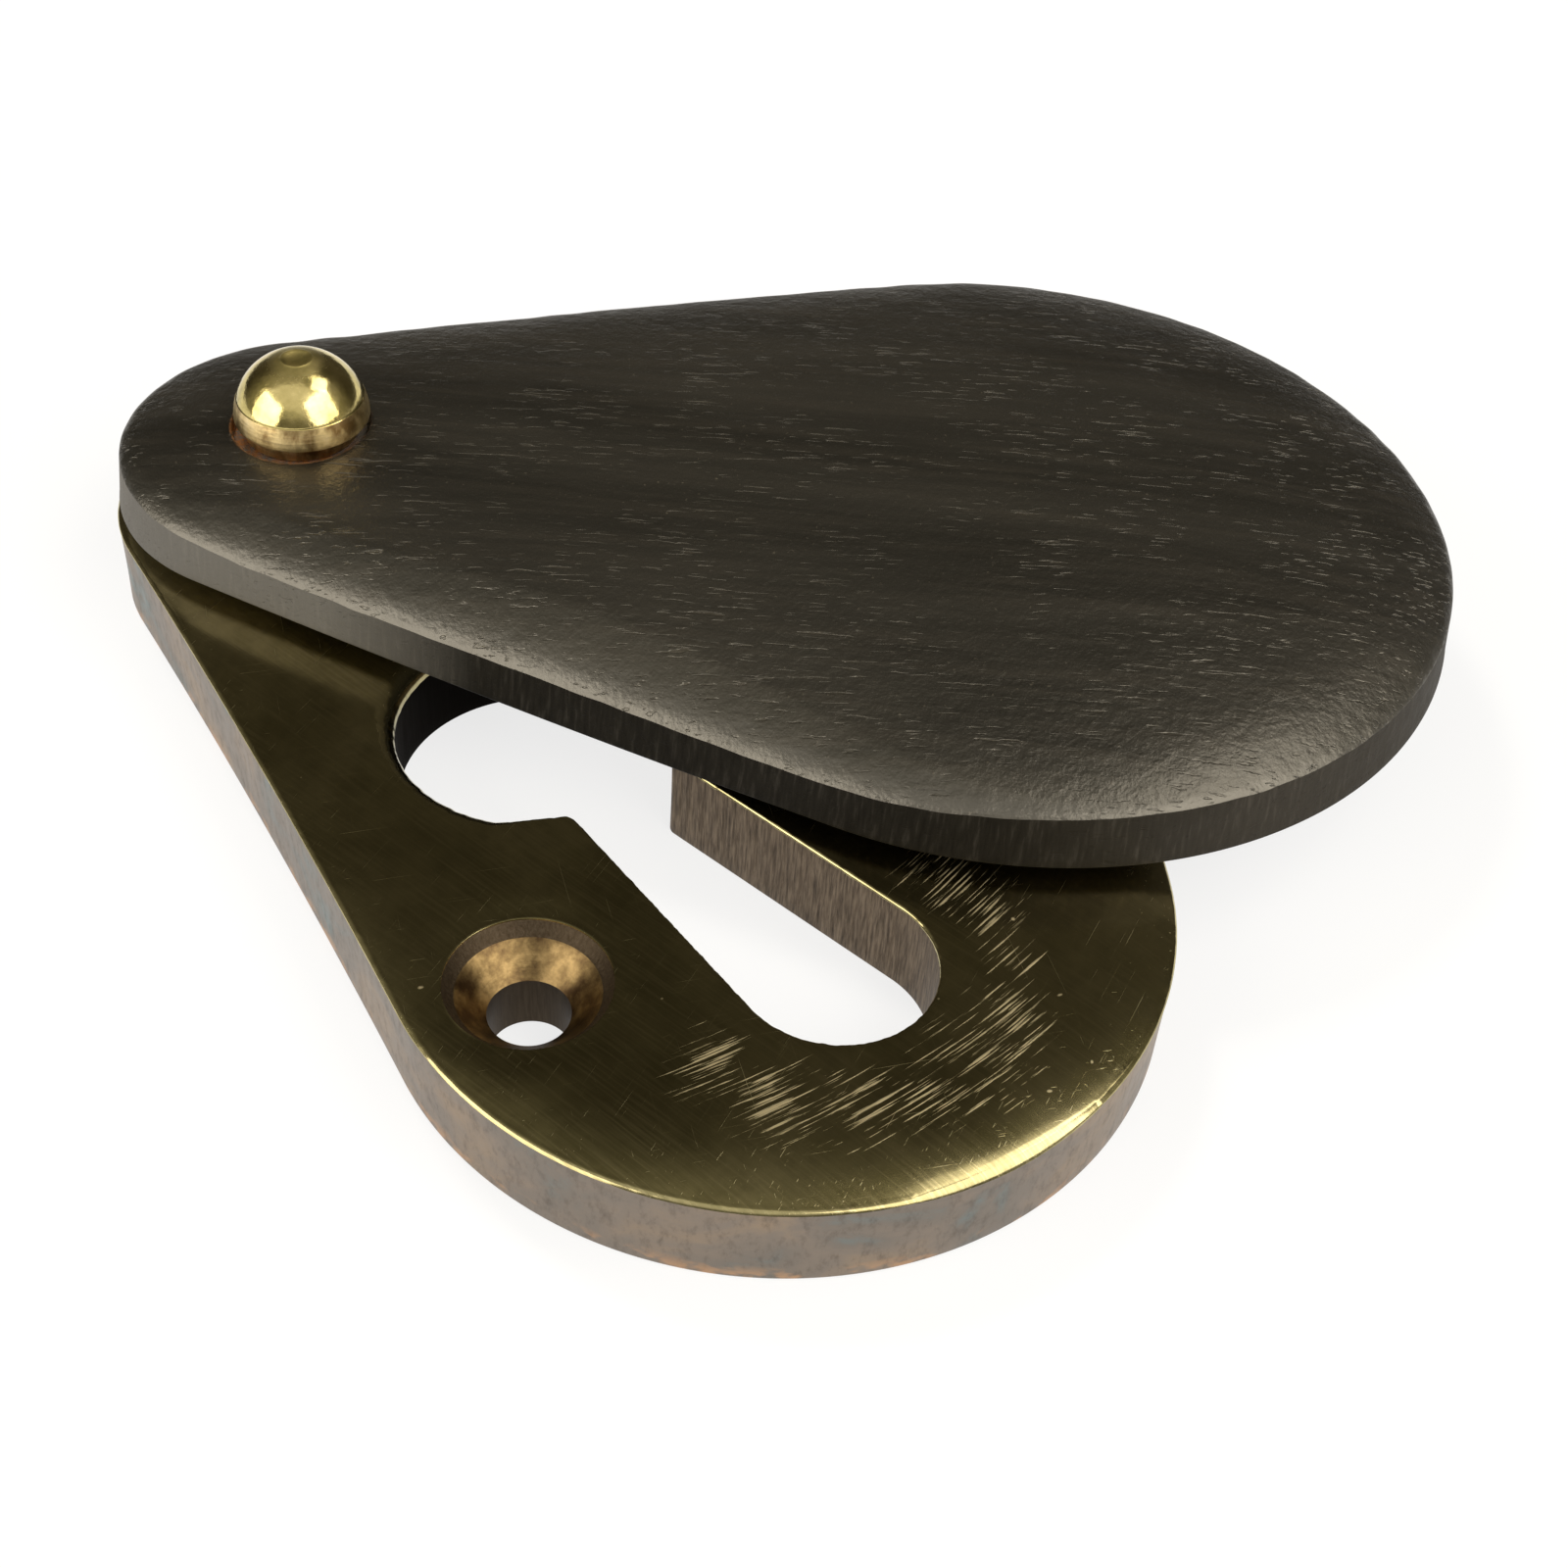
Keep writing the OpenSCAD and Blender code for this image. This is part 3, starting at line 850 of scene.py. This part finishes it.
def full_shoulder(points, depth):
    """Extra rise of the cover's top inside its edge, where the wide end is fullest."""
    bearing = np.degrees(np.arctan2(points[:, 1], points[:, 0]))
    off = (bearing - FULL_BEARING + 180) % 360 - 180
    near = np.exp(-((off / FULL_SPREAD) ** 2))
    return FULL_RISE * near * (1 - np.exp(-depth / FULL_REACH)) * np.exp(-depth / 9)


def dome(points, outline):
    """Height of the cover's top above its underside at points in the cover's own frame."""
    depth = np.maximum(inside_distance(points, outline), 0)
    along = np.clip(points[:, 1] / COVER_L, 0, 1)
    half_width = COVER_WIDE_R + (COVER_NARROW_R - COVER_WIDE_R) * along
    part = np.minimum(depth / half_width, 1)
    rise = half_width * (part - part**3 / 3)
    z = COVER_EDGE_H + SHOULDER_RISE * (1 - np.exp(-depth / SHOULDER_REACH))
    z = z + DOME_LIMIT * (1 - np.exp(-DOME_SLOPE * rise / DOME_LIMIT))
    z = z + near_flank(points) * (1.7 - 0.7 * np.exp(-depth / 1.6)) * np.exp(-depth / 7)
    z = z + full_shoulder(points, depth)
    x, y = points[:, 0], points[:, 1]
    waves = (
        np.sin(0.71 * x + 0.22 * y + 0.4) + np.sin(0.35 * x - 0.62 * y + 2.1)
        + np.sin(-0.55 * x + 0.83 * y + 4.0) + 0.6 * np.sin(1.3 * x + 0.9 * y + 1.0)
    )
    return z + 0.008 * waves


def cover_piece():
    """Made with its wide end at the origin, then swung open about the rivet."""
    shape = Shape()
    face, edge = 0, 1
    outline, normals = teardrop(COVER_WIDE_R, COVER_NARROW_R, COVER_L, COVER_FLANK_R, -1, 1300)
    outline = outline - normals * SKIN
    taller = near_flank(outline)
    lean = np.full(len(outline), COVER_LEAN)
    soft = 0.13 + 0.84 * roundness(outline) + 1.0 * taller + 0.02 * wobble(outline, 2.2, 21)

    def on_dome(inset):
        flat = outline - normals * np.broadcast_to(inset, len(outline))[:, None]
        return dome(flat, outline)

    # The side ends where the corner, which is a parabola from the side to the dome, begins.
    crease_z = on_dome(lean)
    low_z = crease_z - 0.7 * soft

    ease = 0.15
    foot = [ring(outline, normals, ease * (1 - math.sin(a)), ease * (1 - math.cos(a)))
            for a in np.linspace(0, math.pi / 2, 5)]
    uneven = np.abs(0.012 * wobble(outline, 7.0, 22))
    wall = []
    for k in np.linspace(0, 1, 7)[1:]:
        z = ease * (1 - k) + low_z * k
        wall.append(ring(outline, normals, lean * z / crease_z + uneven * math.sin(math.pi * k), z))
    shape.strip(foot + wall, edge)

    reach = 2.1 * soft
    low = np.column_stack([lean * low_z / crease_z, low_z])
    mid = np.column_stack([lean + 0.42 * soft, crease_z])
    high = np.column_stack([lean + reach, on_dome(lean + reach)])
    corner = []
    for t in np.linspace(0, 1, 15):
        spot = low * (1 - t) ** 2 + 2 * mid * t * (1 - t) + high * t**2
        corner.append(ring(outline, normals, spot[:, 0], spot[:, 1]))
    rings = [ring(outline, normals, x, on_dome(x)) for x in
             (lean + reach + g for g in (0.12, 0.3, 0.55, 0.9, 1.3))]
    shape.strip([*corner, *rings], face)

    # Recess for the rivet, with a slightly broken rim.
    sides = 220
    centre = (0.0, COVER_L)
    rim_points, rim_normals = circle(centre, RECESS_R, sides)
    chip = 0.03 + 0.03 * np.abs(wobble(rim_points, 1.2, 23))
    outer = ring(rim_points, rim_normals, -0.25, 0)[:, :2]
    middle = ring(rim_points, rim_normals, -chip, 0)[:, :2]
    inner = ring(rim_points, rim_normals, 0, 0)[:, :2]
    lowest = dome(np.array([[0.0, COVER_L + RECESS_R]]), outline)[0]
    floor_z = lowest - RECESS_DEPTH
    recess = [
        np.column_stack([outer, dome(outer, outline)]),
        np.column_stack([middle, dome(middle, outline) - 0.01]),
        np.column_stack([inner, dome(inner, outline) - 0.02 - chip]),
    ]
    shape.strip(recess, face)
    shape.strip([recess[-1], np.column_stack([inner, np.full(sides, floor_z + 0.04)])], edge)
    pocket = [(RECESS_R, floor_z + 0.04), (RECESS_R - 0.04, floor_z), (BORE_R, floor_z), (BORE_R, 0.0)]
    shape.strip(turned(centre, pocket, sides), edge)

    shape.fill(rings[-1][:, :2], [outer], 0.45, lambda p: dome(p, outline), face)
    bore_ring = turned(centre, [(BORE_R, 0.0)], sides)[0][:, :2]
    shape.fill(foot[0][:, :2], [bore_ring], 1.5, lambda p: np.zeros(len(p)), edge, flip=True)

    place = (
        Matrix.Translation((PIVOT[0] * MM, PIVOT[1] * MM, COVER_Z * MM))
        @ Matrix.Rotation(COVER_OPEN, 4, "Z")
        @ Matrix.Translation((0, -COVER_L * MM, 0))
    )
    return shape.build("cover", [ebony("ebony_face", True), ebony("ebony_edge", False)], 30.0, place)


# ---------------------------------------------------------------- the rivet and the washer

def head_sag():
    """How far the head's rounded top would stand above the dimple's lip, which is the
    highest point of the rivet."""
    return HEAD_H * (1 - math.sqrt(1 - (DIMPLE_CUT_R / HEAD_R) ** 2))


def rivet_piece():
    """Revolved: a tail, a shank, a collar in the cover's recess, and a round head that is
    polished above and satin towards its foot."""
    shape = Shape()
    polished, satin = 0, 1
    foot_z = rivet_high[2] + head_sag() - HEAD_H
    head_r, head_h = HEAD_R - HEAD_TRIM, HEAD_H - HEAD_TRIM

    def on_head(a, proud=0.0):
        return (head_r + proud) * math.cos(a), foot_z + (head_h + proud) * math.sin(a)

    stem = [(0.05, 0.0), (TAIL_R - 0.05, 0.0), (TAIL_R, 0.05), (SHANK_R, TAIL_DEPTH),
            (SHANK_R, foot_z - COLLAR_H), (COLLAR_R - 0.08, foot_z - COLLAR_H),
            (COLLAR_R, foot_z - COLLAR_H + 0.08), (COLLAR_R, foot_z)]
    side = [(COLLAR_R - 0.3, foot_z), (head_r - 0.10, foot_z), (head_r - 0.03, foot_z + 0.03)]
    side += [on_head(a, 0.004 * math.sin(a * 160) - 0.006)
             for a in np.linspace(math.radians(2), POLISH_FROM - 0.01, 14)]
    crown = [on_head(POLISH_FROM, -0.02)]
    crown += [on_head(a) for a in np.linspace(POLISH_FROM + 0.015, math.acos(DIMPLE_R * 1.25 / head_r), 60)]
    lip_z = on_head(math.acos(DIMPLE_R / head_r))[1]
    dimple = [(DIMPLE_R * 1.12, lip_z + 0.002), (DIMPLE_R, lip_z - 0.012)]
    dimple += [(DIMPLE_R * k, lip_z - 0.012 - DIMPLE_DEPTH * (1 - k * k)) for k in np.linspace(0.9, 0.03, 10)]
    centre = PIVOT + HEAD_OFF
    sides = 192
    lower = turned(PIVOT, stem, sides)
    middle = turned(centre, side, sides)
    upper = turned(centre, side[-1:] + crown + dimple, sides)
    shape.strip(lower, satin)
    shape.strip(middle, satin)
    shape.strip(upper, polished)
    shape.cap(lower[0], satin, flip=True)
    shape.cap(lower[-1], satin)
    shape.cap(middle[0], satin, flip=True)
    shape.cap(upper[-1], polished)
    return shape.build("rivet", [polished_brass(), satin_brass()], 30.0)


def washer_piece():
    shape = Shape()
    low, high = washer_low[2], washer_high[2]
    profile = [
        (BORE_R, low), (WASHER_R - 0.06, low), (WASHER_R, low + 0.06), (WASHER_R, high - 0.06),
        (WASHER_R - 0.06, high), (BORE_R, high), (BORE_R, low),
    ]
    shape.strip(turned(PIVOT, profile, 128))
    return shape.build("washer", [washer_brass()], 30.0)


for make, node, body, slot in (
    (plate_piece, "base_plate", "plate", "aged_brass"),
    (washer_piece, "spacer_washer", "plate", "spacer_brass"),
    (rivet_piece, "pivot_rivet", "plate", "polished_brass"),
    (cover_piece, "swing_cover", "cover", "ebony"),
):
    piece = make()
    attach(piece, body)
    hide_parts(node)


# ---------------------------------------------------------------- floor, lights and camera

def pale_floor():
    """A pale table, lit a little from inside, so that shadows on it stay faint."""
    bpy.ops.mesh.primitive_plane_add(size=6.0, location=(0, 0, 0))
    floor = bpy.context.object
    floor.name = "floor"
    material = bpy.data.materials.new("pale_floor")
    material.use_nodes = True
    inputs = material.node_tree.nodes["Principled BSDF"].inputs
    inputs["Base Color"].default_value = (0.2, 0.2, 0.2, 1)
    inputs["Emission Color"].default_value = (1.0, 1.0, 1.0, 1)
    inputs["Emission Strength"].default_value = 0.77
    inputs["Roughness"].default_value = 0.9
    inputs["Specular IOR Level"].default_value = 0.0
    floor.data.materials.append(material)


# Where the lamps point, in metres, and their slightly warm colour
LAMP_AIM = (0.006, 0.004, 0.005)
LAMP_COLOUR = (1.0, 0.955, 0.87)


def towards(azimuth, elevation):
    """The direction from the object to a camera at that azimuth and elevation, in degrees."""
    a, e = math.radians(azimuth), math.radians(elevation)
    return Vector((math.sin(a) * math.cos(e), -math.cos(a) * math.cos(e), math.sin(e)))


def softbox(name, azimuth, elevation, distance, size, power):
    """A softbox that looks at the object, from where a camera at that azimuth and elevation
    would stand. Distance and size are in metres, and power is in watts."""
    back = towards(azimuth, elevation)
    light = bpy.data.lights.new(name, "AREA")
    light.shape = "RECTANGLE"
    light.size, light.size_y = size
    light.energy = power
    light.color = LAMP_COLOUR
    lamp = bpy.data.objects.new(name, light)
    bpy.context.scene.collection.objects.link(lamp)
    lamp.location = Vector(LAMP_AIM) + back * distance
    lamp.rotation_mode = "QUATERNION"
    lamp.rotation_quaternion = (-back).to_track_quat("-Z", "Y")


def photo_camera(azimuth, elevation, roll, distance, target, lens):
    """A camera that looks at target from that azimuth, elevation and distance, in metres."""
    back = towards(azimuth, elevation)
    data = bpy.data.cameras.new("camera")
    data.lens = lens
    data.sensor_width = 36.0
    data.clip_start, data.clip_end = 0.005, 20.0
    camera = bpy.data.objects.new("camera", data)
    bpy.context.scene.collection.objects.link(camera)
    facing = back.to_track_quat("Z", "Y").to_matrix().to_4x4()
    camera.matrix_world = (
        Matrix.Translation(Vector(target) + back * distance)
        @ facing
        @ Matrix.Rotation(math.radians(roll), 4, "Z")
    )
    bpy.context.scene.camera = camera


def studio_world():
    """A studio that is bright in front of the object and overhead, and dim behind it and low
    in front."""
    world = bpy.data.worlds.new("studio")
    world.use_nodes = True
    n = Nodes(world.node_tree)
    heading = n.put("ShaderNodeTexCoord").outputs["Generated"]

    def along(direction, start, end):
        """From 0 to 1 as a heading's part along a direction goes from start to end."""
        dot = n.put("ShaderNodeVectorMath", operation="DOT_PRODUCT")
        n.link(heading, dot.inputs[0])
        dot.inputs[1].default_value = direction
        ease = n.put("ShaderNodeMapRange", interpolation_type="SMOOTHSTEP")
        n.link(dot.outputs["Value"], ease.inputs["Value"])
        ease.inputs["From Min"].default_value = start
        ease.inputs["From Max"].default_value = end
        return ease.outputs["Result"]

    front = (-0.707, -0.677, 0.205)
    behind = n.mix(along(front, -0.50, 0.28), (0.050, 0.044, 0.032), (0.34, 0.32, 0.25))
    before = n.mix(along((0, 0, 1), 0.25, 0.75), (0.20, 0.19, 0.16), (0.80, 0.775, 0.71))
    colour = n.mix(along(front, 0.22, 0.36), behind, before)
    n.link(colour, n.tree.nodes["Background"].inputs["Color"])
    bpy.context.scene.world = world


pale_floor()
softbox("right_box", 11, 36, 0.5, (0.46, 0.46), 2.1)
softbox("left_box", -103, 22, 0.5, (0.46, 0.40), 1.9)
softbox("top_box", 60, 62, 0.5, (0.20, 0.20), 0.42)
softbox("back_lamp", 172, 50, 0.6, (0.12, 0.12), 1.5)
# The back lamp only shapes the shadows, so no polished face shows it.
bpy.data.objects["back_lamp"].visible_glossy = False
studio_world()
photo_camera(azimuth=-46.19, elevation=43.53, roll=4.53, distance=0.0906,
             target=(0.00657, 0.00447, 0.0), lens=50.86)
bpy.context.scene.view_settings.view_transform = "Standard"
